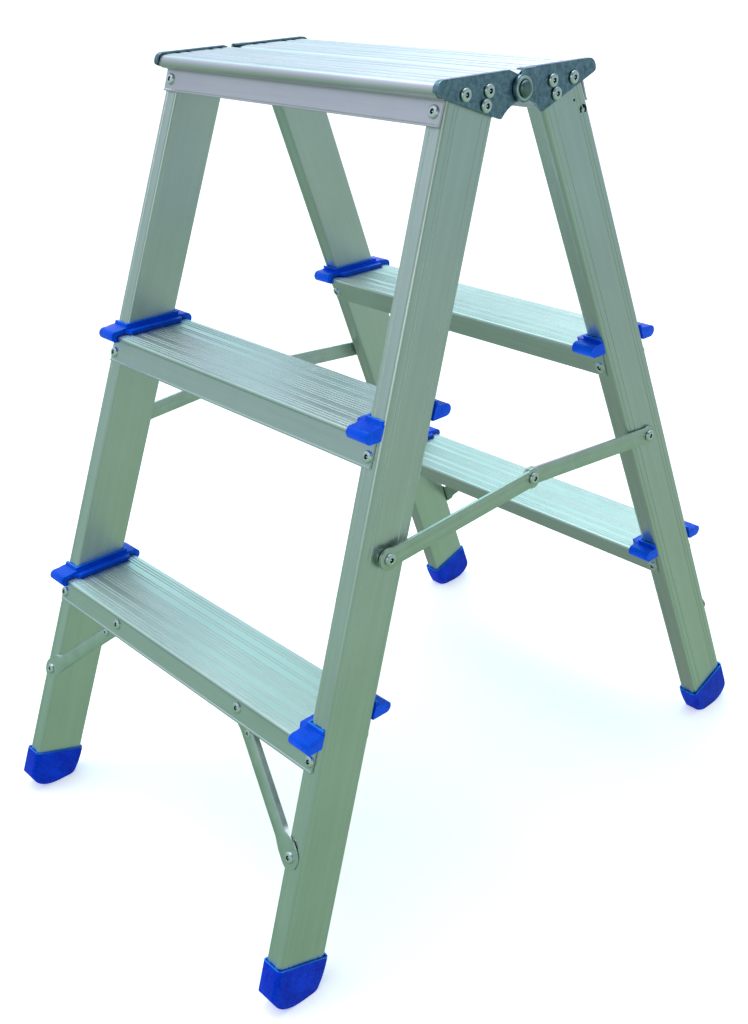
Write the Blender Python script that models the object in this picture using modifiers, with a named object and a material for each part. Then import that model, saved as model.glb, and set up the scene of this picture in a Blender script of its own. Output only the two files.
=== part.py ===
"""A double-sided folding step ladder: two aluminium frames with two treads and half of the platform each.

The frames are hinged under the platform and held apart by a two-link spreader on each side.
X is the width, Y runs from the front frame (-Y) to the rear one (+Y), Z is up, and the origin
lies on the floor under the middle of the platform. Lengths are in metres.
"""

import math

import bmesh
import bpy
from mathutils import Matrix

# Heights
STEP_RISE = 0.230
PLATFORM_TOP = 0.696
TREAD_TOPS = {"low": STEP_RISE, "mid": 2 * STEP_RISE}
PIVOT_DROP = 0.0121
PIVOT_Z = PLATFORM_TOP - PIVOT_DROP

# Stiles: places of the outer faces at floor level, and how far they come in for each metre up
FOOT_HALF_WIDTH = 0.2125
FOOT_HALF_DEPTH = 0.3280
SPLAY = 0.0538
LEAN = 0.3717
STILE_THICKNESS = 0.0180
STILE_WIDTH = 0.0533
STILE_WALL = 0.0018
STILE_BOTTOM = 0.020
RIB_PLACES = (0.0085, 0.0128, 0.0405, 0.0470)
RIB_HEIGHT = 0.00045

# Treads and platform halves
TREAD_HALF_DEPTH = 0.0388
PLATFORM_HALF_DEPTH = 0.0420
SHEET = 0.0018
RELIEF = 0.0005
TREAD_NOSE = 0.0047
PLATFORM_NOSE = 0.0115
OUTER_SKIRT = 0.0270
INNER_SKIRT = 0.0300
GRIP_RIBS = (0.0016, 0.0049, 0.0081, 0.0161, 0.0193, 0.0270, 0.0303, 0.0335)
TREAD_END_INSET = 0.0040
PLATFORM_END_INSET = 0.0007

# Plastic inserts and feet
INSERT_TOP = 0.0040
LIP_TOP = 0.0084
TOE_MIDDLE = (0.0392, -0.0007)
TOE_RADIUS = 0.0052
TOE_LENGTH = 0.0225
LEDGE_REACH = 0.0295
FOOT_WALL = 0.0025
FOOT_RIM = 0.044
FOOT_CORNER = 0.0050

# Hinge plates, links and braces
PLATE = 0.0025
PLATE_SEAT = RIB_HEIGHT + 0.0002
HINGE_GAP = 0.0006
LOBE_RADIUS = 0.0098
FLANGE_REACH = 0.0018
FLANGE = 0.0012
HINGE_RIVETS = ((0.0593, -0.0104), (0.0350, -0.0103), (0.0388, -0.0201))
LINK_RIVET_Y = 0.1657
LINK_RIVET_Z = 0.3612
LINK_MIDDLE_Z = 0.3741
LINK_THICKNESS = 0.0024
LINK_STANDOFF = 0.0010
LINK_HALF_WIDTH = 0.0078
LINK_END_RADIUS = 0.0093
BRACE_LOW = (0.1935, 0.1324)
BRACE_HIGH = (0.0950, 0.2138)
BRACE_HALF_WIDTH = 0.0100
BRACE_SHEET = 0.0015
BRACE_FLANGE = 0.0065

# Rivets
SHANK = 0.0024
SHANK_HOLE = 0.0027
RIVET_HEAD = 0.0049
PIVOT_SHANK = 0.0030
PIVOT_HOLE = 0.0034
PIVOT_HEAD = 0.0060

GAP = 0.0003
WELD = 1e-6

COLOURS = {
    "aluminium": ((0.60, 0.63, 0.62), 0.35, 1.0),
    "zinc_steel": ((0.20, 0.27, 0.31), 0.42, 1.0),
    "bright_steel": ((0.50, 0.55, 0.52), 0.38, 1.0),
    "rivet_steel": ((0.55, 0.58, 0.58), 0.25, 1.0),
    "blue_plastic": ((0.01, 0.09, 0.75), 0.38, 0.0),
}

# Local (a, b, c) to world (c, a, b): an outline in Y and Z, drawn out along X
ALONG_X = Matrix(((0, 0, 1, 0), (1, 0, 0, 0), (0, 1, 0, 0), (0, 0, 0, 1)))


def clear_scene():
    for obj in list(bpy.data.objects):
        bpy.data.objects.remove(obj)


def make_collection(name):
    collection = bpy.data.collections.new(name)
    bpy.context.scene.collection.children.link(collection)
    return collection


def make_material(name):
    colour, roughness, metallic = COLOURS[name]
    material = bpy.data.materials.new(name)
    material.use_nodes = True
    shader = material.node_tree.nodes["Principled BSDF"]
    shader.inputs["Base Color"].default_value = (*colour, 1)
    shader.inputs["Roughness"].default_value = roughness
    shader.inputs["Metallic"].default_value = metallic
    return material


def stile_x(z):
    """Distance of a stile's outer face from the middle plane at height z."""
    return FOOT_HALF_WIDTH - SPLAY * z


def stile_y(z):
    """Distance of a stile's outward narrow face from the hinge's plane at height z."""
    return FOOT_HALF_DEPTH - LEAN * z


def arc(centre, radius, start, end, steps):
    """Points on a circle from one angle to another, in degrees."""
    points = []
    for i in range(steps + 1):
        angle = math.radians(start + (end - start) * i / steps)
        points.append((centre[0] + radius * math.cos(angle), centre[1] + radius * math.sin(angle)))
    return points


def curve_between(first, control, last, steps):
    """Points on a parabola that leaves the first point and reaches the last towards the control."""
    points = []
    for i in range(steps + 1):
        t = i / steps
        weights = ((1 - t) ** 2, 2 * t * (1 - t), t * t)
        points.append(tuple(sum(w * p[k] for w, p in zip(weights, (first, control, last))) for k in (0, 1)))
    return points


def mesh_of(obj):
    """The object's evaluated mesh, welded and facing out. The object is removed."""
    bpy.context.view_layer.update()
    mesh = bpy.data.meshes.new_from_object(obj.evaluated_get(bpy.context.evaluated_depsgraph_get()))
    bpy.data.objects.remove(obj)
    return tidy(mesh)


def tidy(mesh):
    work = bmesh.new()
    work.from_mesh(mesh)
    bmesh.ops.remove_doubles(work, verts=work.verts, dist=WELD)
    bmesh.ops.recalc_face_normals(work, faces=work.faces)
    work.to_mesh(mesh)
    work.free()
    return mesh


def temporary(mesh):
    obj = bpy.data.objects.new("work", mesh)
    bpy.context.scene.collection.objects.link(obj)
    return obj


def drawn_out(loops, start, end, matrix=None):
    """A flat outline, with its holes after it, drawn out along local Z from start to end."""
    curve = bpy.data.curves.new("outline", "CURVE")
    curve.dimensions = "2D"
    curve.fill_mode = "BOTH"
    curve.extrude = (end - start) / 2
    for loop in loops:
        spline = curve.splines.new("POLY")
        spline.points.add(len(loop) - 1)
        for point, place in zip(spline.points, loop):
            point.co = (*place, 0, 1)
        spline.use_cyclic_u = True
    mesh = mesh_of(temporary(curve))
    mesh.transform(Matrix.Translation((0, 0, (start + end) / 2)))
    if matrix is not None:
        mesh.transform(matrix)
    return tidy(mesh)


def turned(profile, steps, matrix):
    """A profile of (radius, height) points, from the top of the axis to its bottom, turned about Z."""
    mesh = bpy.data.meshes.new("profile")
    points = [(radius, 0, height) for radius, height in profile]
    mesh.from_pydata(points, [(i, i + 1) for i in range(len(points) - 1)], [])
    obj = temporary(mesh)
    screw = obj.modifiers.new("turn", "SCREW")
    screw.steps = steps
    screw.render_steps = steps
    screw.use_merge_vertices = True
    screw.merge_threshold = WELD
    result = mesh_of(obj)
    result.transform(matrix)
    return tidy(result)


def combine(mesh, others, operation):
    """The mesh joined with, cut by or kept within each of the others."""
    obj = temporary(mesh)
    helpers = [temporary(other) for other in others]
    for helper in helpers:
        modifier = obj.modifiers.new(operation, "BOOLEAN")
        modifier.operation = operation
        modifier.object = helper
    result = mesh_of(obj)
    for helper in helpers:
        bpy.data.objects.remove(helper)
    return result


def softened(mesh, width, segments):
    """The mesh with its sharp edges rounded."""
    obj = temporary(mesh)
    bevel = obj.modifiers.new("soft edges", "BEVEL")
    bevel.width = width
    bevel.segments = segments
    bevel.limit_method = "ANGLE"
    bevel.angle_limit = math.radians(40)
    bevel.use_clamp_overlap = True
    return mesh_of(obj)


def along_stile():
    """From the stile's own section to the front right stile.

    The section's first axis runs outward from the outer face, its second one outward from the outer
    narrow face, and height stays height, so that the section leans and splays with the stile.
    """
    return Matrix((
        (1, 0, -SPLAY, FOOT_HALF_WIDTH),
        (0, -1, LEAN, -FOOT_HALF_DEPTH),
        (0, 0, 1, 0),
        (0, 0, 0, 1),
    ))


def splayed():
    """Leans a piece that is built about the plane x = 0 onto the plane of the right stiles' outer faces."""
    return Matrix((
        (1, 0, -SPLAY, FOOT_HALF_WIDTH),
        (0, 1, 0, 0),
        (0, 0, 1, 0),
        (0, 0, 0, 1),
    ))


def pin(radius, start, end, y, z, sides=10):
    """A cylinder along X at (y, z), as a cutter or a shank."""
    loop = arc((y, z), radius, 0, 360, sides)[:-1]
    return drawn_out([loop], start, end, ALONG_X)


def stile_mesh():
    outer = arc((-0.0045, -0.0045), 0.0045, 90, 0, 3)
    for place in RIB_PLACES:
        for step, height in ((-0.0007, 0), (-0.0003, RIB_HEIGHT), (0.0003, RIB_HEIGHT), (0.0007, 0)):
            outer.append((height, -place - step))
    outer += arc((-0.0045, 0.0045 - STILE_WIDTH), 0.0045, 0, -90, 3)
    outer += arc((0.0030 - STILE_THICKNESS, 0.0030 - STILE_WIDTH), 0.0030, -90, -180, 2)
    outer += arc((0.0030 - STILE_THICKNESS, -0.0030), 0.0030, 180, 90, 2)
    low = (STILE_WALL - STILE_THICKNESS, STILE_WALL - STILE_WIDTH)
    inner = [(-STILE_WALL, -STILE_WALL), (-STILE_WALL, low[1]), low, (low[0], -STILE_WALL)]
    top = PLATFORM_TOP - RELIEF - SHEET - GAP
    mesh = drawn_out([outer, inner], STILE_BOTTOM, top, along_stile())
    holes = []
    for y, z in HINGE_RIVETS:
        holes.append(pin(SHANK_HOLE, stile_x(PLATFORM_TOP) - 0.004, stile_x(PLATFORM_TOP) + 0.006, -y, PLATFORM_TOP + z))
    holes.append(pin(SHANK_HOLE, stile_x(LINK_RIVET_Z) - 0.005, stile_x(LINK_RIVET_Z) + 0.005, -LINK_RIVET_Y, LINK_RIVET_Z))
    return combine(mesh, holes, "DIFFERENCE")


def tread_outline(half_depth, nose, outer_skirt, inner_skirt):
    """A tread's section about the middle of its depth, with its top at z = 0 and its outer side at +.

    A thick nose is hollow, and one of hardly more than two sheets is solid.
    """
    half_stile = STILE_WIDTH / 2 + GAP

    def outer_at(drop, offset=0.0):
        return (half_stile + offset + LEAN * drop, -drop)

    def inner_at(drop, offset=0.0):
        return (-half_stile - offset + LEAN * drop, -drop)

    radius = (nose - RELIEF) / 2
    middle = half_depth - radius
    bead = 0.0008
    points = [outer_at(outer_skirt, SHEET + bead), outer_at(outer_skirt - 0.0012, SHEET + bead)]
    points += [outer_at(outer_skirt - 0.0020, SHEET), outer_at(nose, SHEET)]
    points += arc((middle, -RELIEF - radius), radius, -90, 90, 6)
    for place in sorted(GRIP_RIBS + tuple(-rib for rib in GRIP_RIBS), reverse=True):
        for step, height in ((0.0008, -RELIEF), (0.0004, 0), (-0.0004, 0), (-0.0008, -RELIEF)):
            points.append((place + step, height))
    points += arc((-middle, -RELIEF - radius), radius, 90, 270, 6)
    points += [inner_at(nose, SHEET), inner_at(inner_skirt, SHEET), inner_at(inner_skirt)]
    if radius > SHEET + 0.001:
        points.append(inner_at(nose - SHEET))
        points += arc((-middle, -RELIEF - radius), radius - SHEET, 270, 90, 3)
        points += arc((middle, -RELIEF - radius), radius - SHEET, 90, -90, 3)
        points.append(outer_at(nose - SHEET))
    else:
        points += [inner_at(RELIEF + SHEET), outer_at(RELIEF + SHEET)]
    points.append(outer_at(outer_skirt))
    return points


def tread_middle(top):
    """Distance of a tread's middle line from the hinge's plane."""
    return stile_y(top) - STILE_WIDTH / 2


def outward_front(middle, top):
    """From a tread's section, drawn out along X, to its place in the front frame."""
    return Matrix.Translation((0, -middle, top)) @ Matrix.Diagonal((1, -1, 1, 1)) @ ALONG_X


def tread_mesh(top):
    half_length = stile_x(top) - TREAD_END_INSET
    outline = tread_outline(TREAD_HALF_DEPTH, TREAD_NOSE, OUTER_SKIRT, INNER_SKIRT)
    mesh = drawn_out([outline], -half_length, half_length, outward_front(tread_middle(top), top))
    clear = 0.0002
    notch = [(0.010, clear), (0.010, -STILE_WIDTH - clear)]
    notch += [(-STILE_THICKNESS - GAP, -STILE_WIDTH - clear), (-STILE_THICKNESS - GAP, clear)]
    right = drawn_out([notch], top - 0.006, top + 0.005, along_stile())
    left = right.copy()
    left.transform(Matrix.Diagonal((-1, 1, 1, 1)))
    return combine(mesh, [right, tidy(left)], "DIFFERENCE")


def platform_mesh():
    half_length = stile_x(PLATFORM_TOP) - PLATFORM_END_INSET
    outline = tread_outline(PLATFORM_HALF_DEPTH, PLATFORM_NOSE, INNER_SKIRT, INNER_SKIRT)
    return drawn_out([outline], -half_length, half_length, outward_front(tread_middle(PLATFORM_TOP), PLATFORM_TOP))


def insert_mesh(top):
    """The plastic collar of the front right stile on a tread, with a toe over each of the tread's noses."""
    half_stile = STILE_WIDTH / 2
    radius = (TREAD_NOSE - RELIEF) / 2
    middle = TREAD_HALF_DEPTH - radius
    centre = -RELIEF - radius + GAP
    to_stile = along_stile() @ Matrix.Translation((0, -half_stile, top))
    to_tread = outward_front(tread_middle(top), top)
    face_x = stile_x(top)
    base = [(-0.0005, 0.034)]
    for side in (1, -1):
        corner = [(-TOE_LENGTH, side * 0.034), (-TOE_LENGTH, side * 0.0312)]
        corner += [(-TOE_LENGTH - 0.0015, side * 0.0295), (-LEDGE_REACH + 0.0015, side * 0.0282)]
        corner.append((-LEDGE_REACH, side * 0.0265))
        base += corner if side > 0 else corner[::-1]
    base.append((-0.0005, -0.034))
    base = drawn_out([base], -GAP, INSERT_TOP, to_stile)
    deep = half_stile + 0.0026
    lip = [(-0.0007, deep), (-STILE_THICKNESS - 0.0026, deep), (-STILE_THICKNESS - 0.0026, -deep), (-0.0007, -deep)]
    lip = drawn_out([lip], 0.0006, LIP_TOP, to_stile)
    toe_top = TOE_MIDDLE[1] + TOE_RADIUS
    toes = []
    pocket = []
    for side in (1, -1):
        under = 0.0060
        root = half_stile - 0.0040
        outline = [(root - side * LEAN * toe_top, toe_top)] + arc(TOE_MIDDLE, TOE_RADIUS, 90, -90, 5)
        outline.append((root + side * LEAN * under, -under))
        outline = [(side * out, height) for out, height in outline]
        toes.append(drawn_out([outline], face_x - TOE_LENGTH + GAP, face_x, to_tread))
        hollow = arc((middle, centre - 0.00015), radius + 0.00065, 90, -90, 5)
        skirt = half_stile + 2 * GAP + SHEET + side * LEAN * TREAD_NOSE + 0.0004
        hollow += [(skirt, centre - radius - 0.0010), (skirt + side * 0.0013, -0.012)]
        hollow = [(side * out, height) for out, height in hollow]
        pocket += hollow if side > 0 else hollow[::-1]
    mesh = combine(base, [lip, *toes], "UNION")
    pocket = drawn_out([pocket], face_x - 0.04, face_x - TREAD_END_INSET + GAP, to_tread)
    wide = half_stile + 0.00035
    bore = [(0.010, wide), (-STILE_THICKNESS - 0.00035, wide), (-STILE_THICKNESS - 0.00035, -wide), (0.010, -wide)]
    bore = drawn_out([bore], -0.02, 0.02, to_stile)
    return combine(mesh, [pocket, bore], "DIFFERENCE")


def foot_mesh():
    """A cup on the lower end of the front right stile, with a flat sole and a rounded toe."""
    rim_run = STILE_WIDTH + 2 * FOOT_WALL
    rim_fall = LEAN * rim_run / (1 + LEAN**2)
    inner_rim = FOOT_RIM - rim_fall

    def outward(z, offset):
        return (-stile_y(z) - offset, z)

    inner = -STILE_WIDTH - FOOT_WALL
    heel = 0.005
    spare = 0.0010
    outline = [outward(FOOT_RIM, FOOT_WALL + spare), outward(0.0200, FOOT_WALL + spare)]
    outline += curve_between((-0.3238, 0.0150), (-0.3180, 0.0), (-0.2990, 0.0), 5)
    outline += [(-0.2755, 0.0), (-0.2725, 0.0010), outward(heel, inner - spare), outward(inner_rim, inner - spare)]
    low = -STILE_THICKNESS - FOOT_WALL
    mesh = drawn_out([outline], low - spare, FOOT_WALL + spare, splayed() @ ALONG_X)
    section = []
    for u, v, start in ((FOOT_WALL, FOOT_WALL, 90), (FOOT_WALL, inner, 0), (low, inner, -90), (low, FOOT_WALL, -180)):
        centre = (u - math.copysign(FOOT_CORNER, u), v - math.copysign(FOOT_CORNER, v))
        section += arc(centre, FOOT_CORNER, start, start - 90, 4)
    mesh = combine(mesh, [drawn_out([section], -0.01, FOOT_RIM + 0.01, along_stile())], "INTERSECT")
    mesh = softened(mesh, 0.0009, 2)
    clear = GAP
    bore = [(clear + RIB_HEIGHT, clear), (clear + RIB_HEIGHT, -STILE_WIDTH - clear)]
    bore += [(-STILE_THICKNESS - clear, -STILE_WIDTH - clear), (-STILE_THICKNESS - clear, clear)]
    bore = drawn_out([bore], STILE_BOTTOM - clear, FOOT_RIM + 0.01, along_stile())
    return combine(mesh, [bore], "DIFFERENCE")


def platform_nose():
    """The middle of the rounding of the platform's outer nose: distance outward, and height above the top."""
    radius = (PLATFORM_NOSE - RELIEF) / 2
    return (tread_middle(PLATFORM_TOP) + PLATFORM_HALF_DEPTH - radius, -RELIEF - radius)


def plate_outline(front):
    """A hinge plate's outline: distance outward from the hinge's plane, and height above the platform."""
    points = arc(platform_nose(), 0.0076, 90, 0, 4)
    points += curve_between((0.0865, -0.0072), (0.0860, -0.0086), (0.0830, -0.0096), 2)
    points += [(0.0240, -0.0310), (0.0228, -0.0313)]
    points += curve_between((0.0217, -0.0304), (0.0142, -0.0230), (0.0042, -0.02095), 4)
    points += arc((0, -PIVOT_DROP), LOBE_RADIUS, -80, -180, 4)
    if front:
        points += arc((0, -PIVOT_DROP), LOBE_RADIUS, -205, -280, 3)
        points += curve_between((0.0045, -0.0019), (0.0085, 0.0004), (0.0120, 0.0016), 3)
    else:
        points += arc((0, -PIVOT_DROP), LOBE_RADIUS, -205, -268, 3)
        points.append((0.0006, 0.0016))
    return points


def plate_mesh(front):
    """A right hinge plate, with a flange over the platform's end. The rear one steps out over the front lobe."""
    side = -1 if front else 1
    raised = splayed() @ Matrix.Translation((0, 0, PLATFORM_TOP)) @ Matrix.Diagonal((1, side, 1, 1))
    outer = PLATE_SEAT + PLATE
    lobe_in = outer + HINGE_GAP
    lobe_out = lobe_in + PLATE
    start = 0.0122 if front else 0.0008
    flange = [(start, GAP)] + arc(platform_nose(), 0.0063, 90, -4, 5)
    flange += arc(platform_nose(), 0.0063 + FLANGE, -4, 90, 6) + [(start, GAP + FLANGE)]
    if front:
        web = drawn_out([plate_outline(front)], PLATE_SEAT, outer, raised @ ALONG_X)
        flange = drawn_out([flange], -FLANGE_REACH, outer - 0.0003, raised @ ALONG_X)
    else:
        web = drawn_out([plate_outline(front)], -0.001, lobe_out + 0.001, raised @ ALONG_X)
        flange = drawn_out([flange], -FLANGE_REACH, lobe_out + 0.001, raised @ ALONG_X)
        outside = [(lobe_out, -0.012), (lobe_out, 0.0134), (outer, 0.0181), (outer, 0.095)]
        inside = [(PLATE_SEAT, 0.095), (PLATE_SEAT, 0.0170), (lobe_in, 0.0123), (lobe_in, -0.012)]
        web = combine(web, [drawn_out([inside + outside], -0.040, 0.010, raised)], "INTERSECT")
        edge = [(x - 0.0003, y) for x, y in outside] + [(-0.010, 0.095), (-0.010, -0.012)]
        flange = combine(flange, [drawn_out([edge], -0.040, 0.010, raised)], "INTERSECT")
    mesh = combine(web, [flange], "UNION")
    face = stile_x(PLATFORM_TOP)
    holes = [pin(PIVOT_HOLE, face - 0.01, face + 0.02, 0, PIVOT_Z, 14)]
    for y, z in HINGE_RIVETS:
        holes.append(pin(SHANK_HOLE, face - 0.004, face + 0.008, side * y, PLATFORM_TOP + z))
    return combine(mesh, holes, "DIFFERENCE")


def rivet_profile(head, height, shank, length):
    """A domed head and its shank below z = 0."""
    profile = [(0, height), (head * 0.55, height * 0.86), (head * 0.9, height * 0.42), (head, 0)]
    return profile + [(shank, 0), (shank, -length), (0, -length)]


def facing_out(x, y, z):
    """From a rivet's own axis to +X at a place."""
    return Matrix.Translation((x, y, z)) @ Matrix.Rotation(math.radians(90), 4, "Y")


def hinge_rivet_mesh(front, number):
    side = -1 if front else 1
    y, drop = HINGE_RIVETS[number]
    z = PLATFORM_TOP + drop
    x = stile_x(z) + PLATE_SEAT + PLATE + 0.0003 + SPLAY * RIVET_HEAD
    profile = rivet_profile(RIVET_HEAD, 0.0020, SHANK, 0.0062)
    return turned(profile, 10, facing_out(x, side * y, z))


def pivot_rivet_mesh():
    """The large domed rivet of the hinge, with its shank through both lobes and a plain head inside."""
    outer = stile_x(PIVOT_Z) + PLATE_SEAT + 2 * PLATE + HINGE_GAP + 0.0003 + SPLAY * PIVOT_HEAD
    length = outer - stile_x(PIVOT_Z) - 0.0003
    head = PIVOT_HEAD
    profile = [(0, 0.0034), (head * 0.5, 0.0029), (head * 0.85, 0.0016), (head, 0)]
    profile += [(PIVOT_SHANK, 0), (PIVOT_SHANK, -length), (0.0050, -length)]
    profile += [(0.0050, -length - 0.0013), (0, -length - 0.0013)]
    return turned(profile, 14, facing_out(outer, 0, PIVOT_Z))


def link_base(front):
    """Where the inner face of a link lies: the rear link runs next to the stile, the front one outside it."""
    inner = stile_x(LINK_RIVET_Z) + LINK_STANDOFF
    return inner + LINK_THICKNESS + 0.0005 if front else inner


def link_mesh(front):
    """A flat bar with round ends, from its rivet on the stile to the spreader's middle."""
    side = -1 if front else 1
    run = LINK_RIVET_Y
    rise = LINK_MIDDLE_Z - LINK_RIVET_Z
    length = math.hypot(run, rise)
    shoulder = math.degrees(math.asin(LINK_HALF_WIDTH / LINK_END_RADIUS))
    outline = arc((0, 0), LINK_END_RADIUS, shoulder, 360 - shoulder, 10)
    outline += arc((length, 0), LINK_END_RADIUS, -180 + shoulder, 180 - shoulder, 10)
    holes = [arc((place, 0), SHANK_HOLE, 0, 360, 10)[:-1] for place in (0, length)]
    start = link_base(front)
    turn = Matrix.Rotation(math.atan2(rise, run), 4, "Z")
    place = Matrix.Translation((0, side * LINK_RIVET_Y, LINK_RIVET_Z))
    place = place @ Matrix.Diagonal((1, -side, 1, 1)) @ ALONG_X @ turn
    return drawn_out([outline, *holes], start, start + LINK_THICKNESS, place)


def link_end_rivet_mesh(front):
    """A rivet from the link into the stile, with a collar that holds the front link off."""
    side = -1 if front else 1
    base = link_base(front)
    outer = base + LINK_THICKNESS + GAP
    face = stile_x(LINK_RIVET_Z)
    profile = rivet_profile(0.0053, 0.0024, SHANK, 0.001)[:5]
    if front:
        profile += [(SHANK, base - GAP - outer), (0.0060, base - GAP - outer), (0.0060, face + 0.0007 - outer)]
        profile.append((SHANK, face + 0.0007 - outer))
    profile += [(SHANK, face - 0.004 - outer), (0, face - 0.004 - outer)]
    return turned(profile, 10, facing_out(outer, side * LINK_RIVET_Y, LINK_RIVET_Z))


def link_rivet_mesh():
    """The spreader's middle rivet, held in the front link."""
    outer = link_base(True) + LINK_THICKNESS + GAP
    profile = rivet_profile(0.0053, 0.0024, SHANK, LINK_THICKNESS + GAP)
    return turned(profile, 10, facing_out(outer, 0, LINK_MIDDLE_Z))


def link_rivet_tail_mesh():
    """The clenched end of the middle rivet, held in the rear link."""
    inner = link_base(False)
    profile = [(0, LINK_THICKNESS), (SHANK, LINK_THICKNESS), (SHANK, -GAP), (0.0042, -GAP)]
    profile += [(0.0038, -0.0018), (0, -0.0022)]
    return turned(profile, 10, facing_out(inner, 0, LINK_MIDDLE_Z))


def brace_mesh():
    """A pressed channel with flat round ends, from the front right stile up to the low tread's skirt."""
    run = BRACE_LOW[0] - BRACE_HIGH[0]
    rise = BRACE_HIGH[1] - BRACE_LOW[1]
    length = math.hypot(run, rise)
    half = BRACE_HALF_WIDTH
    outline = arc((0, 0), half, 90, 270, 8) + arc((length, 0), half, -90, 90, 8)
    holes = [arc((place, 0), SHANK_HOLE, 0, 360, 10)[:-1] for place in (0, length)]
    web = drawn_out([outline, *holes], -BRACE_SHEET, 0)
    flanges = []
    for side in (1, -1):
        edge = side * half
        wall = [(0.020, -0.0003), (0.036, -BRACE_FLANGE), (length - 0.026, -BRACE_FLANGE)]
        wall.append((length - 0.012, -0.0003))
        stand = Matrix.Rotation(math.radians(90), 4, "X")
        low, high = sorted((-edge + side * 0.0001, -edge + side * BRACE_SHEET))
        flanges.append(drawn_out([wall], low, high, stand))
    mesh = combine(web, flanges, "UNION")
    angle = math.atan2(rise, run)
    # Local X runs up the brace and local Z faces forward: (-x, z) in the plane of the stiles' faces.
    frame = Matrix((
        (-math.cos(angle), -math.sin(angle), 0, BRACE_LOW[0]),
        (0, 0, -1, 0),
        (math.sin(angle), -math.cos(angle), 0, BRACE_LOW[1]),
        (0, 0, 0, 1),
    ))
    mesh.transform(frame)
    # The web's outer face lies outside the stile's face at the low end and inside the skirt at the high end.
    low_out = GAP + BRACE_SHEET
    high_out = -0.0004
    inward = (low_out - high_out) / run
    lean = Matrix((
        (1, 0, 0, 0),
        (-inward, 1, LEAN, -FOOT_HALF_DEPTH - low_out + inward * BRACE_LOW[0]),
        (0, 0, 1, 0),
        (0, 0, 0, 1),
    ))
    mesh.transform(lean)
    return tidy(mesh)


def mirrored(mesh, x_side, y_side):
    """A copy of a front right piece for another corner."""
    copy = mesh.copy()
    copy.transform(Matrix.Diagonal((x_side, y_side, 1, 1)))
    return tidy(copy)


class Builder:
    """Makes the named objects, their materials and their parents."""

    def __init__(self):
        self.collection = make_collection("step_ladder")
        self.materials = {name: make_material(name) for name in COLOURS}
        self.parents = {}

    def axis(self, name, place, parent=None):
        """An empty on a joint's axis."""
        empty = bpy.data.objects.new(name, None)
        self.collection.objects.link(empty)
        empty.empty_display_size = 0.02
        empty.location = place
        if parent:
            self.hang(empty, parent)
        self.parents[name] = empty

    def hang(self, obj, parent):
        above = self.parents[parent]
        bpy.context.view_layer.update()
        obj.parent = above
        obj.matrix_parent_inverse = above.matrix_world.inverted()

    def add(self, name, mesh, material, parent, origin):
        """One sub-part, with its origin at a place of its own."""
        mesh.name = name
        mesh.transform(Matrix.Translation([-value for value in origin]))
        mesh.materials.clear()
        mesh.materials.append(self.materials[material])
        mesh.shade_smooth()
        mesh.set_sharp_from_angle(angle=math.radians(35))
        obj = bpy.data.objects.new(name, mesh)
        obj.location = origin
        self.collection.objects.link(obj)
        self.hang(obj, parent)


def add_corners(builder):
    """The pieces that are the same at all four stiles."""
    shapes = {
        "stile": (stile_mesh(), "aluminium", (stile_x(0), stile_y(0), 0)),
        "foot": (foot_mesh(), "blue_plastic", (stile_x(0), stile_y(0), 0)),
        "brace": (brace_mesh(), "bright_steel", (BRACE_LOW[0], stile_y(BRACE_LOW[1]), BRACE_LOW[1])),
    }
    for level, top in TREAD_TOPS.items():
        shapes["insert_" + level] = (insert_mesh(top), "blue_plastic", (stile_x(top), tread_middle(top), top))
    for end, y_side in (("front", 1), ("rear", -1)):
        for hand, x_side in (("right", 1), ("left", -1)):
            for kind, (mesh, material, place) in shapes.items():
                origin = (x_side * place[0], -y_side * place[1], place[2])
                builder.add(f"{end}_{kind}_{hand}", mirrored(mesh, x_side, y_side), material, end + "_frame_axis", origin)


def add_treads(builder):
    platform = platform_mesh()
    treads = {level: tread_mesh(top) for level, top in TREAD_TOPS.items()}
    for end, y_side in (("front", 1), ("rear", -1)):
        parent = end + "_frame_axis"
        for level, top in TREAD_TOPS.items():
            origin = (0, -y_side * tread_middle(top), top)
            builder.add(f"{end}_tread_{level}", mirrored(treads[level], 1, y_side), "aluminium", parent, origin)
        origin = (0, -y_side * tread_middle(PLATFORM_TOP), PLATFORM_TOP)
        builder.add(f"{end}_platform", mirrored(platform, 1, y_side), "aluminium", parent, origin)


def add_hinges(builder):
    for hand, x_side in (("right", 1), ("left", -1)):
        pivot = (x_side * stile_x(PIVOT_Z), 0, PIVOT_Z)
        for end in ("front", "rear"):
            parent = end + "_frame_axis"
            front = end == "front"
            plate = mirrored(plate_mesh(front), x_side, 1)
            builder.add(f"{end}_hinge_plate_{hand}", plate, "zinc_steel", parent, pivot)
            for number, (y, drop) in enumerate(HINGE_RIVETS):
                rivet = mirrored(hinge_rivet_mesh(front, number), x_side, 1)
                place = (pivot[0], -y if front else y, PLATFORM_TOP + drop)
                builder.add(f"{end}_hinge_rivet_{hand}_{number + 1}", rivet, "rivet_steel", parent, place)
        rivet = mirrored(pivot_rivet_mesh(), x_side, 1)
        builder.add("pivot_rivet_" + hand, rivet, "zinc_steel", "front_frame_axis", pivot)


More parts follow.
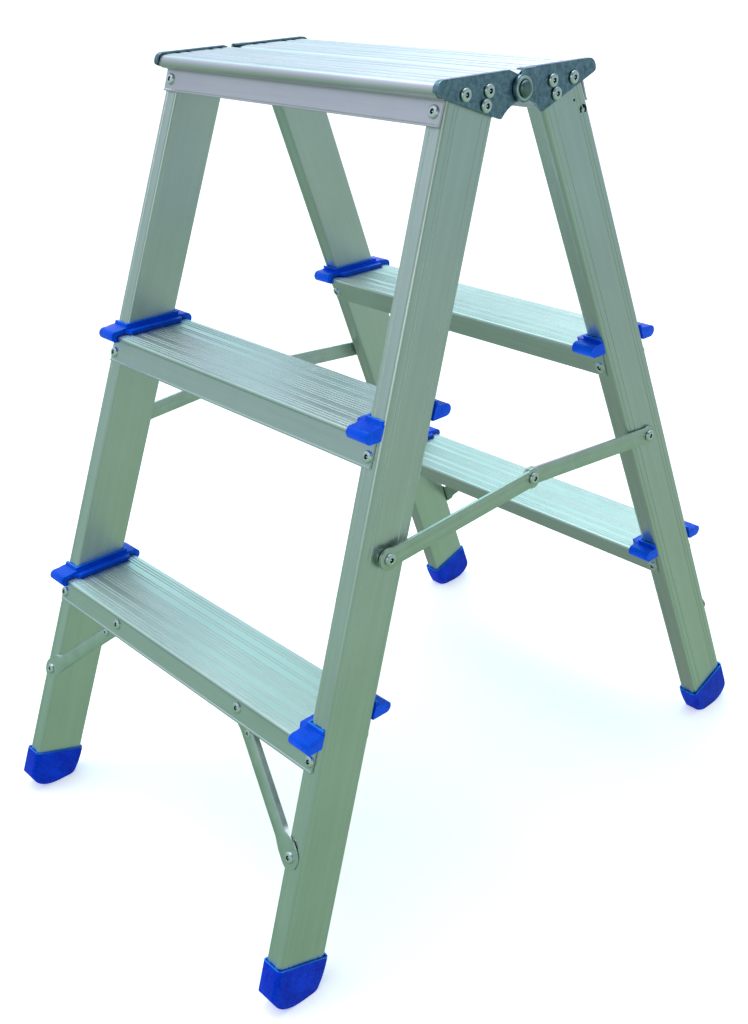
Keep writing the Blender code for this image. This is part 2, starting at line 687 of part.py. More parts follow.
def add_spreaders(builder):
    for hand, x_side in (("right", 1), ("left", -1)):
        middle = (x_side * link_base(True), 0, LINK_MIDDLE_Z)
        for end, y_side in (("front", -1), ("rear", 1)):
            front = end == "front"
            place = (x_side * link_base(front), y_side * LINK_RIVET_Y, LINK_RIVET_Z)
            axis = f"{end}_link_axis_{hand}"
            builder.axis(axis, place, end + "_frame_axis")
            builder.add(f"{end}_link_{hand}", mirrored(link_mesh(front), x_side, 1), "bright_steel", axis, place)
            rivet = mirrored(link_end_rivet_mesh(front), x_side, 1)
            builder.add(f"{end}_link_end_rivet_{hand}", rivet, "rivet_steel", end + "_frame_axis", place)
        rivet = mirrored(link_rivet_mesh(), x_side, 1)
        builder.add("link_rivet_" + hand, rivet, "rivet_steel", "front_link_axis_" + hand, middle)
        tail = mirrored(link_rivet_tail_mesh(), x_side, 1)
        builder.add("link_rivet_tail_" + hand, tail, "rivet_steel", "rear_link_axis_" + hand, middle)


def main():
    clear_scene()
    builder = Builder()
    for end in ("front", "rear"):
        builder.axis(end + "_frame_axis", (0, 0, PIVOT_Z))
    add_corners(builder)
    add_treads(builder)
    add_hinges(builder)
    add_spreaders(builder)


main()
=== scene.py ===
"""Looks of the folding step ladder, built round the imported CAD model. Lengths are in metres."""

import math

import bmesh
import bpy
from mathutils import Matrix, Vector


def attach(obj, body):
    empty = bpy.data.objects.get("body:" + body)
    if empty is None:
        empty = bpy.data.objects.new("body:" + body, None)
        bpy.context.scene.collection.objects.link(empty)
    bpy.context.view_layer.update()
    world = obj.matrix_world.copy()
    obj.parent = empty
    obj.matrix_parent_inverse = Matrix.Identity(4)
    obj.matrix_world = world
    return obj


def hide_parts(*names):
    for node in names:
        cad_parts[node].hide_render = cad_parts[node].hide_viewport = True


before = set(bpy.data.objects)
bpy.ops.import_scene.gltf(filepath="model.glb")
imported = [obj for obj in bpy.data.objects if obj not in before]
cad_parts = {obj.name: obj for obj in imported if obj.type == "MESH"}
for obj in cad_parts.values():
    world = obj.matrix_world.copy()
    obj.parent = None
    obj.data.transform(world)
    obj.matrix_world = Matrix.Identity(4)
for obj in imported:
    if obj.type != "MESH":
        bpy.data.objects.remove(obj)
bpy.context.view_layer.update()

# The ladder's leading dimensions, as in the CAD
PLATFORM_TOP = 0.696
TREAD_TOPS = {"low": 0.230, "mid": 0.460}
PIVOT_Z = 0.6839
FOOT_HALF_WIDTH = 0.2125
FOOT_HALF_DEPTH = 0.3280
SPLAY = 0.0538
LEAN = 0.3717
STILE_THICKNESS = 0.0180
STILE_WIDTH = 0.0533
STILE_WALL = 0.0018
STILE_BOTTOM = 0.020
HALF_STILE = STILE_WIDTH / 2
STILE_CORNER = 0.0045
STILE_INNER_CORNER = 0.0030
BAND_DEPTH = 0.0005
RIB_PLACES = (0.0085, 0.0128, 0.0405, 0.0470)
RIB_HEIGHT = 0.00045
RIB_SHAPE = ((-0.0008, 0), (-0.0004, 0.8), (0, 1.0), (0.0004, 0.8), (0.0008, 0))
TREAD_HALF_DEPTH = 0.0388
PLATFORM_HALF_DEPTH = 0.0420
SHEET = 0.0018
RELIEF = 0.0005
TREAD_NOSE = 0.0047
PLATFORM_NOSE = 0.0115
OUTER_SKIRT = 0.0270
INNER_SKIRT = 0.0300
SKIRT_BEAD = 0.0007
TREAD_CLEARANCE = 0.0002
GRIP_RIBS = (0.0016, 0.0049, 0.0081, 0.0161, 0.0193, 0.0270, 0.0303, 0.0335)
GRIP_SHAPE = ((0.00085, 0), (0.00055, 0.75), (0.0002, 1), (-0.0002, 1), (-0.00055, 0.75), (-0.00085, 0))
PLATE = 0.0025
PLATE_SEAT = RIB_HEIGHT + 0.0002
HINGE_GAP = 0.0006
LOBE_RADIUS = 0.0098
PIVOT_DROP = PLATFORM_TOP - PIVOT_Z
FLANGE_REACH = 0.0018
FLANGE = 0.0012
PLATE_NOSE_RADIUS = 0.0076
PIVOT_HOLE = 0.0034
PIVOT_HEAD = 0.0060
RIVET_HOLE = 0.0027
HINGE_RIVETS = ((0.0593, -0.0104), (0.0350, -0.0103), (0.0388, -0.0201))
LINK_RIVET_Y = 0.1657
LINK_RIVET_Z = 0.3612
LINK_MIDDLE_Z = 0.3741
LINK_THICKNESS = 0.0024
LINK_STANDOFF = 0.0010
LINK_PLAY = 0.0005
LINK_HALF_WIDTH = 0.0078
LINK_END_RADIUS = 0.0093
BRACE_LOW = (0.1935, 0.1324)
BRACE_HIGH = (0.0950, 0.2138)
BRACE_HALF_WIDTH = 0.0100
BRACE_SHEET = 0.0015
BRACE_FOLD = 0.0040
BRACE_EDGE = 0.0002
BRACE_RAMP = 0.014
BRACE_STUD_FROM_HEAD = 0.0238
STOP_HOLE = (0.0748, 0.6600)
PUNCH_MARK = (0.0640, 0.6680)
FOOT_WALL = 0.0025
FOOT_RIM = 0.044
FOOT_CORNER = 0.0050
FOOT_CORNERS = (
    (-0.005, 0.0118), (0.0, 0.0114), (0.0025, 0.0100), (0.005, 0.0087),
    (0.008, 0.0074), (0.012, 0.0062), (0.018, FOOT_CORNER), (FOOT_RIM + 0.01, FOOT_CORNER),
)
TOE_LENGTH = 0.0225
TOE_MIDDLE = (0.0392, -0.0007)
TOE_RADIUS = 0.0052
LEDGE_REACH = 0.0295
INSERT_TOP = 0.0040
LIP_TOP = 0.0084
COLLAR_TOP = 0.0054
COLLAR_REACH = 0.0040
LIP_REACH = 0.0022
INSERT_PLAY = 0.00035
SPARE = 0.0010
GAP = 0.0003
WELD = 1e-6
RIVET_HEAD = 0.0050
LINK_RIVET_HEAD = 0.0053
STUD_HEAD = 0.0038
SHANK = 0.0024
HOLLOW = 0.36
STEM = 0.42
SHARP_ANGLE = 32
GRAIN_STRETCH = 0.02
STREAK = 0.10
SKY_STRENGTH = 2.0

# Degrees of turn about the vertical, of pitch and of roll, then millimetres of lens and metres of place
CAMERA_ANGLES = (47.7588, -27.4014, -1.9206)
CAMERA_LENS = 42.254
CAMERA_SHIFT = (-0.02608, 0.02076)
CAMERA_PLACE = (0.8042, -0.7028, 0.8030)

SIDES = (("right", 1), ("left", -1))
ENDS = (("front", 1), ("rear", -1))
ALONG_X = Matrix(((0, 0, 1, 0), (1, 0, 0, 0), (0, 1, 0, 0), (0, 0, 0, 1)))


# ---------------------------------------------------------------- shapes


def stile_x(z):
    return FOOT_HALF_WIDTH - SPLAY * z


def stile_y(z):
    return FOOT_HALF_DEPTH - LEAN * z


def tread_middle(top):
    return stile_y(top) - HALF_STILE


def arc(centre, radius, start, end, steps):
    points = []
    for i in range(steps + 1):
        angle = math.radians(start + (end - start) * i / steps)
        points.append((centre[0] + radius * math.cos(angle), centre[1] + radius * math.sin(angle)))
    return points


def curve_between(first, control, last, steps):
    points = []
    for i in range(steps + 1):
        t = i / steps
        weights = ((1 - t) ** 2, 2 * t * (1 - t), t * t)
        points.append(tuple(sum(w * p[k] for w, p in zip(weights, (first, control, last))) for k in (0, 1)))
    return points


def tidy(mesh):
    work = bmesh.new()
    work.from_mesh(mesh)
    bmesh.ops.remove_doubles(work, verts=work.verts, dist=WELD)
    bmesh.ops.recalc_face_normals(work, faces=work.faces)
    work.to_mesh(mesh)
    work.free()
    return mesh


def temporary(data):
    obj = bpy.data.objects.new("work", data)
    bpy.context.scene.collection.objects.link(obj)
    return obj


def mesh_of(obj):
    bpy.context.view_layer.update()
    mesh = bpy.data.meshes.new_from_object(obj.evaluated_get(bpy.context.evaluated_depsgraph_get()))
    bpy.data.objects.remove(obj)
    return tidy(mesh)


def drawn_out(loops, start, end, matrix):
    """The flat shape inside the loops, drawn out along Z and then placed by the matrix."""
    curve = bpy.data.curves.new("outline", "CURVE")
    curve.dimensions = "2D"
    curve.fill_mode = "BOTH"
    curve.extrude = (end - start) / 2
    for loop in loops:
        spline = curve.splines.new("POLY")
        spline.points.add(len(loop) - 1)
        for point, place in zip(spline.points, loop):
            point.co = (*place, 0, 1)
        spline.use_cyclic_u = True
    mesh = mesh_of(temporary(curve))
    mesh.transform(Matrix.Translation((0, 0, (start + end) / 2)))
    mesh.transform(matrix)
    return tidy(mesh)


def turned(profile, steps, matrix, closed=False):
    """A profile of radii and heights turned about Z and then placed by the matrix."""
    mesh = bpy.data.meshes.new("profile")
    points = [(radius, 0, height) for radius, height in profile]
    edges = [(i, i + 1) for i in range(len(points) - 1)]
    if closed:
        edges.append((len(points) - 1, 0))
    mesh.from_pydata(points, edges, [])
    obj = temporary(mesh)
    screw = obj.modifiers.new("turn", "SCREW")
    screw.steps = steps
    screw.render_steps = steps
    screw.use_merge_vertices = True
    screw.merge_threshold = WELD
    result = mesh_of(obj)
    result.transform(matrix)
    return tidy(result)


def combine(mesh, others, operation):
    obj = temporary(mesh)
    helpers = [temporary(other) for other in others]
    for helper in helpers:
        modifier = obj.modifiers.new(operation, "BOOLEAN")
        modifier.operation = operation
        modifier.object = helper
    result = mesh_of(obj)
    for helper in helpers:
        bpy.data.objects.remove(helper)
    return result


def softened(mesh, width, segments, angle=35):
    obj = temporary(mesh)
    bevel = obj.modifiers.new("soft edges", "BEVEL")
    bevel.width = width
    bevel.segments = segments
    bevel.limit_method = "ANGLE"
    bevel.angle_limit = math.radians(angle)
    return mesh_of(obj)


def along_stile():
    """From the stile's section (outward from its wide face, outward from its narrow face, height)."""
    return Matrix((
        (1, 0, -SPLAY, FOOT_HALF_WIDTH),
        (0, -1, LEAN, -FOOT_HALF_DEPTH),
        (0, 0, 1, 0),
        (0, 0, 0, 1),
    ))


def splayed():
    return Matrix((
        (1, 0, -SPLAY, FOOT_HALF_WIDTH),
        (0, 1, 0, 0),
        (0, 0, 1, 0),
        (0, 0, 0, 1),
    ))


def pin(radius, start, end, y, z):
    return drawn_out([arc((y, z), radius, 0, 360, 24)[:-1]], start, end, ALONG_X)


def outward_front(middle, top):
    return Matrix.Translation((0, -middle, top)) @ Matrix.Diagonal((1, -1, 1, 1)) @ ALONG_X


def facing_out(x, y, z):
    return Matrix.Translation((x, y, z)) @ Matrix.Rotation(math.radians(90), 4, "Y")


def mirrored(mesh, x_side, y_side):
    copy = mesh.copy()
    copy.transform(Matrix.Diagonal((x_side, y_side, 1, 1)))
    return tidy(copy)


# ---------------------------------------------------------------- stiles


def stile_mesh():
    """The ribbed rectangular tube, with a shallow channel down each of its narrow faces."""
    band = ((-0.0056, 0), (-0.0060, -BAND_DEPTH), (-0.0124, -BAND_DEPTH), (-0.0128, 0))
    outer = arc((-STILE_CORNER, -STILE_CORNER), STILE_CORNER, 90, 0, 10)
    for place in RIB_PLACES:
        for step, height in RIB_SHAPE:
            outer.append((height * RIB_HEIGHT, -place - step))
    outer += arc((-STILE_CORNER, STILE_CORNER - STILE_WIDTH), STILE_CORNER, 0, -90, 10)
    outer += [(u, -STILE_WIDTH - v) for u, v in band]
    back = STILE_INNER_CORNER - STILE_THICKNESS
    outer += arc((back, STILE_INNER_CORNER - STILE_WIDTH), STILE_INNER_CORNER, -90, -180, 8)
    outer += arc((back, -STILE_INNER_CORNER), STILE_INNER_CORNER, 180, 90, 8)
    outer += reversed(band)
    low = (STILE_WALL - STILE_THICKNESS, STILE_WALL - STILE_WIDTH)
    inner = [(-STILE_WALL, -STILE_WALL), (-STILE_WALL, low[1]), low, (low[0], -STILE_WALL)]
    return drawn_out([outer, inner], STILE_BOTTOM, PLATFORM_TOP - RELIEF - SHEET - GAP, along_stile())


# ---------------------------------------------------------------- treads and platform


def tread_outline(half_depth, nose, outer_skirt, inner_skirt):
    """A tread's section (outward, up), from the outer skirt's foot over the top to the inner skirt's foot."""
    half_stile = HALF_STILE + GAP

    def outer_at(drop, offset=0.0):
        return (half_stile + offset + LEAN * drop, -drop)

    def inner_at(drop, offset=0.0):
        return (-half_stile - offset + LEAN * drop, -drop)

    radius = (nose - RELIEF) / 2
    middle = half_depth - radius
    beaded = SHEET + SKIRT_BEAD
    points = [outer_at(outer_skirt, SHEET + SKIRT_BEAD * 0.6), outer_at(outer_skirt - 0.0004, beaded)]
    points += [outer_at(outer_skirt - 0.0013, beaded), outer_at(outer_skirt - 0.0019, SHEET)]
    points += [outer_at(nose + 0.0008, SHEET), outer_at(nose, SHEET + 0.0006)]
    points += arc((middle, -RELIEF - radius), radius, -90, 90, 16)
    for place in sorted(GRIP_RIBS + tuple(-rib for rib in GRIP_RIBS), reverse=True):
        for step, height in GRIP_SHAPE:
            points.append((place + step, -RELIEF + RELIEF * height))
    points += arc((-middle, -RELIEF - radius), radius, 90, 270, 16)
    points += [inner_at(nose, SHEET), inner_at(inner_skirt - 0.0004, SHEET), inner_at(inner_skirt, SHEET - 0.0004)]
    points.append(inner_at(inner_skirt))
    if radius > SHEET + 0.001:
        points.append(inner_at(nose - SHEET))
        points += arc((-middle, -RELIEF - radius), radius - SHEET, 270, 90, 6)
        points += arc((middle, -RELIEF - radius), radius - SHEET, 90, -90, 6)
        points.append(outer_at(nose - SHEET))
    else:
        points += [inner_at(RELIEF + SHEET), outer_at(RELIEF + SHEET)]
    points.append(outer_at(outer_skirt))
    return points


def tread_mesh(top):
    half_length = stile_x(top) - 0.0040
    outline = tread_outline(TREAD_HALF_DEPTH, TREAD_NOSE, OUTER_SKIRT, INNER_SKIRT)
    mesh = drawn_out([outline], -half_length, half_length, outward_front(tread_middle(top), top))
    far = -STILE_WIDTH - TREAD_CLEARANCE
    notch = [(0.010, TREAD_CLEARANCE), (0.010, far)]
    notch += [(-STILE_THICKNESS - GAP, far), (-STILE_THICKNESS - GAP, TREAD_CLEARANCE)]
    right = drawn_out([notch], top - 0.006, top + 0.005, along_stile())
    return combine(mesh, [right, mirrored(right, -1, 1)], "DIFFERENCE")


def platform_mesh():
    half_length = stile_x(PLATFORM_TOP) - 0.0007
    outline = tread_outline(PLATFORM_HALF_DEPTH, PLATFORM_NOSE, INNER_SKIRT, INNER_SKIRT)
    place = outward_front(tread_middle(PLATFORM_TOP), PLATFORM_TOP)
    return drawn_out([outline], -half_length, half_length, place)


# ---------------------------------------------------------------- plastic


def lofted(rings, matrix):
    """A closed skin over rings that all have the same number of points."""
    work = bmesh.new()
    loops = [[work.verts.new(point) for point in ring] for ring in rings]
    for low, high in zip(loops, loops[1:]):
        for i in range(len(low)):
            j = (i + 1) % len(low)
            work.faces.new((low[i], low[j], high[j], high[i]))
    work.faces.new(loops[0])
    work.faces.new(loops[-1])
    bmesh.ops.recalc_face_normals(work, faces=work.faces)
    mesh = bpy.data.meshes.new("lofted")
    work.to_mesh(mesh)
    work.free()
    mesh.transform(matrix)
    return mesh


def highlight_painted_tops(mesh, height):
    """Faces that look up from above this height take the second material, a painted highlight."""
    for face in mesh.polygons:
        face.material_index = int(face.center.z > height and face.normal.z > 0.8)
    return mesh


def insert_mesh(top):
    """A collar on the tread round the front right stile, with a rounded toe over each of the tread's noses."""
    radius = (TREAD_NOSE - RELIEF) / 2
    middle = TREAD_HALF_DEPTH - radius
    centre = -RELIEF - radius + GAP
    to_stile = along_stile() @ Matrix.Translation((0, -HALF_STILE, top))
    to_tread = outward_front(tread_middle(top), top)
    face_x = stile_x(top)
    base_end = 0.0350
    base = [(-0.0005, base_end)]
    for side in (1, -1):
        corner = [(-TOE_LENGTH, base_end)]
        corner += curve_between((-TOE_LENGTH, 0.0325), (-TOE_LENGTH, 0.0288), (-0.0256, 0.0284), 6)
        corner += curve_between((-0.0274, 0.0282), (-LEDGE_REACH, 0.0280), (-LEDGE_REACH, 0.0260), 6)
        corner = [(u, side * v) for u, v in corner]
        base += corner if side > 0 else corner[::-1]
    base.append((-0.0005, -base_end))
    base = drawn_out([base], -GAP, INSERT_TOP, to_stile)

    def ring(reach, low, high):
        deep = HALF_STILE + 0.0004 + reach
        inner = -STILE_THICKNESS - 0.0004 - reach
        bend = min(reach, 0.0015)
        loop = [(-0.0007, deep)] + arc((inner + bend, deep - bend), bend, 90, 180, 5)
        loop += arc((inner + bend, bend - deep), bend, 180, 270, 5) + [(-0.0007, -deep)]
        return drawn_out([loop], low, high, to_stile)

    toe_top = TOE_MIDDLE[1] + TOE_RADIUS
    toes = []
    pocket = []
    for side in (1, -1):
        under = 0.0060
        root = HALF_STILE - 0.0040
        outline = [(root - side * LEAN * toe_top, toe_top + 0.0010), (HALF_STILE + 0.0030, toe_top + 0.0008)]
        outline += [(HALF_STILE + 0.0085, toe_top)] + arc(TOE_MIDDLE, TOE_RADIUS, 88, -90, 14)
        outline.append((root + side * LEAN * under, -under))
        outline = [(side * out, height) for out, height in outline]
        toes.append(drawn_out([outline], face_x - TOE_LENGTH + GAP, face_x, to_tread))
        hollow = arc((middle, centre - 0.00015), radius + 0.00065, 90, -90, 8)
        skirt = HALF_STILE + 2 * GAP + SHEET + side * LEAN * TREAD_NOSE + 0.0004
        hollow += [(skirt, centre - radius - 0.0010), (skirt + side * 0.0013, -0.012)]
        hollow = [(side * out, height) for out, height in hollow]
        pocket += hollow if side > 0 else hollow[::-1]
    rims = [ring(COLLAR_REACH, 0.0004, COLLAR_TOP), ring(LIP_REACH, 0.0006, LIP_TOP)]
    mesh = combine(base, [*rims, *toes], "UNION")
    mesh = softened(mesh, 0.0007, 3)
    pocket = drawn_out([pocket], face_x - 0.04, face_x - 0.0037, to_tread)
    wide = HALF_STILE + INSERT_PLAY
    deep = -STILE_THICKNESS - INSERT_PLAY
    bore = [(0.010, wide), (deep, wide), (deep, -wide), (0.010, -wide)]
    bore = drawn_out([bore], -0.02, 0.02, to_stile)
    # The lip's up-facing top takes the painted highlight.
    return highlight_painted_tops(combine(mesh, [pocket, bore], "DIFFERENCE"), top + LIP_TOP - 0.0005)


def foot_mesh():
    """A cup on the lower end of the front right stile, with rounded corners, a rounded toe and a flat sole."""
    rim_fall = LEAN * (STILE_WIDTH + 2 * FOOT_WALL) / (1 + LEAN**2)
    inner = -STILE_WIDTH - FOOT_WALL
    low = -STILE_THICKNESS - FOOT_WALL

    def outward(z, offset):
        return (-stile_y(z) - offset, z)

    def section(radius, z):
        points = []
        corners = ((FOOT_WALL, FOOT_WALL, 90), (FOOT_WALL, inner, 0), (low, inner, -90), (low, FOOT_WALL, -180))
        for u, v, start in corners:
            centre = (u - math.copysign(radius, u), v - math.copysign(radius, v))
            points += [(*point, z) for point in arc(centre, radius, start, start - 90, 8)]
        return points

    outline = [outward(FOOT_RIM, FOOT_WALL + SPARE), outward(0.0200, FOOT_WALL + SPARE)]
    outline += curve_between((-0.3236, 0.0185), (-0.3190, 0.0003), (-0.2950, 0.0), 14)
    heel = outward(0.0060, inner - SPARE)
    outline += [(-0.2765, 0.0)] + curve_between((-0.2750, 0.0001), (-0.2725, 0.0010), heel, 4)
    outline.append(outward(FOOT_RIM - rim_fall, inner - SPARE))
    mesh = drawn_out([outline], low - SPARE, FOOT_WALL + SPARE, splayed() @ ALONG_X)
    sleeve = lofted([section(radius, z) for z, radius in FOOT_CORNERS], along_stile())
    mesh = softened(combine(mesh, [sleeve], "INTERSECT"), 0.0012, 4)
    near, far = (GAP + RIB_HEIGHT, -STILE_THICKNESS - GAP)
    bore = [(near, GAP), (near, -STILE_WIDTH - GAP), (far, -STILE_WIDTH - GAP), (far, GAP)]
    bore = drawn_out([bore], STILE_BOTTOM - GAP, FOOT_RIM + 0.01, along_stile())
    # The rim's up-facing top takes the painted highlight.
    return highlight_painted_tops(combine(mesh, [bore], "DIFFERENCE"), FOOT_RIM - rim_fall - 0.0015)


# ---------------------------------------------------------------- hinges


def platform_nose():
    radius = (PLATFORM_NOSE - RELIEF) / 2
    return (tread_middle(PLATFORM_TOP) + PLATFORM_HALF_DEPTH - radius, -RELIEF - radius)


def plate_outline(front):
    """The plate's side view: outward from the pivot, and up from the platform's top."""
    points = arc(platform_nose(), PLATE_NOSE_RADIUS, 90, 0, 10)
    points += curve_between((0.0866, -0.0070), (0.0862, -0.0085), (0.0830, -0.0096), 6)
    points += [(0.0242, -0.03095), (0.0236, -0.0312), (0.0228, -0.0313)]
    points += curve_between((0.0219, -0.0306), (0.0142, -0.0230), (0.0042, -0.02095), 12)
    points += arc((0, -PIVOT_DROP), LOBE_RADIUS, -76, -180, 10)
    if front:
        points += arc((0, -PIVOT_DROP), LOBE_RADIUS, -190, -280, 10)
        points += curve_between((0.0042, -0.0020), (0.0080, 0.0003), (0.0120, 0.0016), 8)
    else:
        points += arc((0, -PIVOT_DROP), LOBE_RADIUS, -190, -268, 9)
        points.append((0.0006, 0.0016))
    return points


def plate_mesh(front):
    """The right plate on one frame: a web with a flange over the platform. The rear one steps out to its lobe."""
    side = -1 if front else 1
    raised = splayed() @ Matrix.Translation((0, 0, PLATFORM_TOP)) @ Matrix.Diagonal((1, side, 1, 1))
    outer = PLATE_SEAT + PLATE
    lobe_in = outer + HINGE_GAP
    lobe_out = lobe_in + PLATE
    start = 0.0122 if front else 0.0008
    bend = 0.0063
    flange = [(start, GAP)] + arc(platform_nose(), bend, 90, -4, 10)
    flange += arc(platform_nose(), bend + FLANGE, -4, 90, 10) + [(start, GAP + FLANGE)]
    if front:
        web = drawn_out([plate_outline(front)], PLATE_SEAT, outer, raised @ ALONG_X)
        flange = drawn_out([flange], -FLANGE_REACH, outer - 0.0003, raised @ ALONG_X)
    else:
        web = drawn_out([plate_outline(front)], -0.001, lobe_out + 0.001, raised @ ALONG_X)
        flange = drawn_out([flange], -FLANGE_REACH, lobe_out + 0.001, raised @ ALONG_X)
        outside = [(lobe_out, -0.012), (lobe_out, 0.0118), (lobe_out - 0.0004, 0.0134)]
        outside += [(outer + 0.0004, 0.0165), (outer, 0.0181), (outer, 0.095)]
        inside = [(PLATE_SEAT, 0.095), (PLATE_SEAT, 0.0170), (lobe_in, 0.0123), (lobe_in, -0.012)]
        web = combine(web, [drawn_out([inside + outside], -0.040, 0.010, raised)], "INTERSECT")
        edge = [(x - 0.0003, y) for x, y in outside] + [(-0.010, 0.095), (-0.010, -0.012)]
        flange = combine(flange, [drawn_out([edge], -0.040, 0.010, raised)], "INTERSECT")
    mesh = combine(web, [flange], "UNION")
    face = stile_x(PLATFORM_TOP)
    holes = [pin(PIVOT_HOLE, face - 0.01, face + 0.02, 0, PIVOT_Z)]
    for y, z in HINGE_RIVETS:
        holes.append(pin(RIVET_HOLE, face - 0.004, face + 0.008, side * y, PLATFORM_TOP + z))
    mesh = combine(mesh, holes, "DIFFERENCE")
    return softened(mesh, 0.0005, 3, 40)


def blind_rivet(head, height, shank, length):
    """A blind rivet's profile: a rounded head round a hollow, with the broken stem standing in it."""
    hollow = head * HOLLOW
    profile = [(0, height * 0.66), (hollow * 0.30, height * 0.62), (hollow * STEM, height * 0.50)]
    profile += [(hollow * 0.45, height * 0.06), (hollow * 0.95, height * 0.04)]
    profile += [(hollow, height * 0.82), (hollow * 1.12, height * 0.97)]
    for i in range(1, 9):
        angle = math.radians(90 * i / 8)
        radius = hollow * 1.12 + (head - hollow * 1.12) * math.sin(angle)
        profile.append((radius, height * (0.25 + 0.72 * math.cos(angle) ** 0.8)))
    profile += [(head, height * 0.10), (head * 0.97, 0), (shank, 0), (shank, -length), (0, -length)]
    return profile


def rivet_mesh(profile, head, matrix):
    """A turned blind rivet, whose hollow takes the second material, painted shade."""
    mesh = turned(profile, 36, Matrix.Identity(4))
    hollow = head * HOLLOW
    for face in mesh.polygons:
        out = math.hypot(face.center.x, face.center.y)
        face.material_index = int(face.center.z > 0 and hollow * STEM < out < hollow)
    mesh.transform(matrix)
    return mesh


def hinge_rivet_mesh(front, number):
    side = -1 if front else 1
    y, drop = HINGE_RIVETS[number]
    z = PLATFORM_TOP + drop
    x = stile_x(z) + PLATE_SEAT + PLATE + 0.0003 + SPLAY * 0.0049
    return rivet_mesh(blind_rivet(RIVET_HEAD, 0.0021, SHANK, 0.0062), RIVET_HEAD, facing_out(x, side * y, z))


def pivot_rivet_mesh():
    outer = stile_x(PIVOT_Z) + PLATE_SEAT + 2 * PLATE + HINGE_GAP + 0.0003 + SPLAY * 0.0060
    length = outer - stile_x(PIVOT_Z) - 0.0003
    profile = [(0, 0.0036)]
    for i in range(1, 12):
        angle = math.radians(90 * i / 11)
        profile.append((PIVOT_HEAD * math.sin(angle), 0.0008 + 0.0028 * math.cos(angle)))
    profile += [(PIVOT_HEAD, 0.0003), (0.0057, 0), (0.0030, 0), (0.0030, -length), (0.0050, -length)]
    profile += [(0.0048, -length - 0.0011), (0.0044, -length - 0.0013), (0, -length - 0.0013)]
    return turned(profile, 40, facing_out(outer, 0, PIVOT_Z))


def pivot_washer_mesh():
    """A thin pale washer on the rear lobe, round the pivot's head."""
    base = stile_x(PIVOT_Z) + PLATE_SEAT + 2 * PLATE + HINGE_GAP
    profile = [(0.0066, -0.0004), (0.0066, 0.0004), (0.0070, 0.0007)]
    profile += [(0.0084, 0.0007), (0.0089, 0.0003), (0.0090, -0.0004)]
    shear = Matrix(((1, 0, -SPLAY, base), (0, 1, 0, 0), (0, 0, 1, PIVOT_Z), (0, 0, 0, 1)))
    return turned(profile, 48, shear @ facing_out(0, 0, 0), closed=True)


# ---------------------------------------------------------------- spreaders and braces


def link_base(front):
    inner = stile_x(LINK_RIVET_Z) + LINK_STANDOFF
    return inner + LINK_THICKNESS + LINK_PLAY if front else inner


def link_mesh(front):
    """One flat link of the right spreader, as a strip with a wider round eye at both ends."""
    side = -1 if front else 1
    run = LINK_RIVET_Y
    rise = LINK_MIDDLE_Z - LINK_RIVET_Z
    length = math.hypot(run, rise)
    shoulder = math.degrees(math.asin(LINK_HALF_WIDTH / LINK_END_RADIUS))
    outline = arc((0, 0), LINK_END_RADIUS, shoulder, 360 - shoulder, 28)
    outline += arc((length, 0), LINK_END_RADIUS, -180 + shoulder, 180 - shoulder, 28)
    holes = [arc((place, 0), RIVET_HOLE, 0, 360, 20)[:-1] for place in (0, length)]
    start = link_base(front)
    turn = Matrix.Rotation(math.atan2(rise, run), 4, "Z")
    place = Matrix.Translation((0, side * LINK_RIVET_Y, LINK_RIVET_Z))
    place = place @ Matrix.Diagonal((1, -side, 1, 1)) @ ALONG_X @ turn
    return softened(drawn_out([outline, *holes], start, start + LINK_THICKNESS, place), 0.0004, 3, 60)


def link_end_rivet_mesh(front):
    side = -1 if front else 1
    base = link_base(front)
    outer = base + LINK_THICKNESS + GAP
    face = stile_x(LINK_RIVET_Z)
    spacer = 0.0060
    profile = blind_rivet(LINK_RIVET_HEAD, 0.0024, SHANK, 0.001)[:-3]
    if front:
        profile += [(SHANK, 0), (SHANK, base - GAP - outer), (spacer, base - GAP - outer)]
        profile += [(spacer, face + 0.0007 - outer), (SHANK, face + 0.0007 - outer)]
    else:
        profile.append((SHANK, 0))
    profile += [(SHANK, face - 0.004 - outer), (0, face - 0.004 - outer)]
    return rivet_mesh(profile, LINK_RIVET_HEAD, facing_out(outer, side * LINK_RIVET_Y, LINK_RIVET_Z))


def link_rivet_mesh():
    outer = link_base(True) + LINK_THICKNESS + GAP
    profile = blind_rivet(LINK_RIVET_HEAD, 0.0024, SHANK, LINK_THICKNESS + GAP)
    return rivet_mesh(profile, LINK_RIVET_HEAD, facing_out(outer, 0, LINK_MIDDLE_Z))


def link_rivet_tail_mesh():
    inner = link_base(False)
    profile = [(0, LINK_THICKNESS), (SHANK, LINK_THICKNESS), (SHANK, -GAP), (0.0042, -GAP)]
    profile += [(0.0042, -0.0010), (0.0038, -0.0017), (0.0026, -0.0021), (0, -0.0022)]
    return turned(profile, 32, facing_out(inner, 0, LINK_MIDDLE_Z))


def brace_frame():
    """From the brace's own plane (up its length, across, forward) to the front right corner."""
    run = BRACE_LOW[0] - BRACE_HIGH[0]
    angle = math.atan2(BRACE_HIGH[1] - BRACE_LOW[1], run)
    turn = Matrix((
        (-math.cos(angle), -math.sin(angle), 0, BRACE_LOW[0]),
        (0, 0, -1, 0),
        (math.sin(angle), -math.cos(angle), 0, BRACE_LOW[1]),
        (0, 0, 0, 1),
    ))
    low_out = GAP + BRACE_SHEET
    inward = (low_out + 0.0004) / run
    lean = Matrix((
        (1, 0, 0, 0),
        (-inward, 1, LEAN, -FOOT_HALF_DEPTH - low_out + inward * BRACE_LOW[0]),
        (0, 0, 1, 0),
        (0, 0, 0, 1),
    ))
    return lean @ turn


def brace_length():
    return math.hypot(BRACE_LOW[0] - BRACE_HIGH[0], BRACE_HIGH[1] - BRACE_LOW[1])


